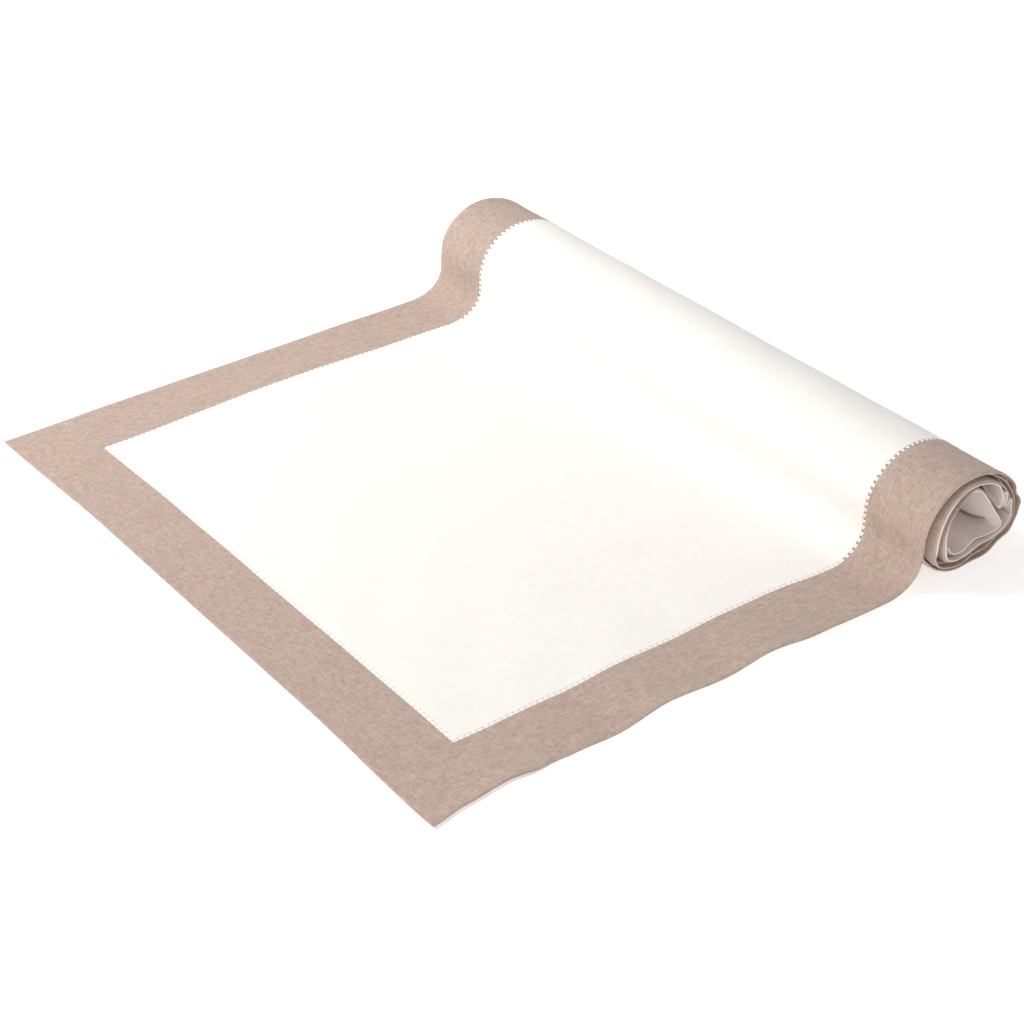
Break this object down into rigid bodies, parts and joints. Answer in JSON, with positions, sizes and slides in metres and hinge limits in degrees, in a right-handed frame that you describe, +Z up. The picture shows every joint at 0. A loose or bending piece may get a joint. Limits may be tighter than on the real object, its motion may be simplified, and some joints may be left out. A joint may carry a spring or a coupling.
{
  "type": "table runner",
  "caption": "Lined linen table runner with a mitred contrast border and hemstitched seams, laid flat at one end and loosely rolled at the other.",
  "frame": {"origin": "centre of the footprint, on the table that the runner lies on", "axes": "+X across the runner, along the axis of the roll; +Y from the free front edge towards the roll; +Z up"},
  "size_m": [0.406, 0.3714, 0.052],
  "materials": {
    "panel_linen": "bleached white plain-weave linen",
    "border_linen": "natural oatmeal plain-weave linen",
    "lining_cloth": "off-white cotton lining",
    "white_thread": "white cotton embroidery thread",
    "border_thread": "oatmeal sewing thread"
  },
  "bodies": {
    "root": {"centre_panel": "panel_linen", "border_front": "border_linen", "border_back": "border_linen", "border_left": "border_linen", "border_right": "border_linen", "lining": "lining_cloth", "hemstitch_front": "white_thread", "hemstitch_back": "white_thread", "hemstitch_left": "white_thread", "hemstitch_right": "white_thread", "mitre_stitches_front_left": "border_thread", "mitre_stitches_front_right": "border_thread", "mitre_stitches_back_left": "border_thread", "mitre_stitches_back_right": "border_thread", "edge_stitches_front": "border_thread", "edge_stitches_back": "border_thread", "edge_stitches_left": "border_thread", "edge_stitches_right": "border_thread"}
  },
  "joints": []
}
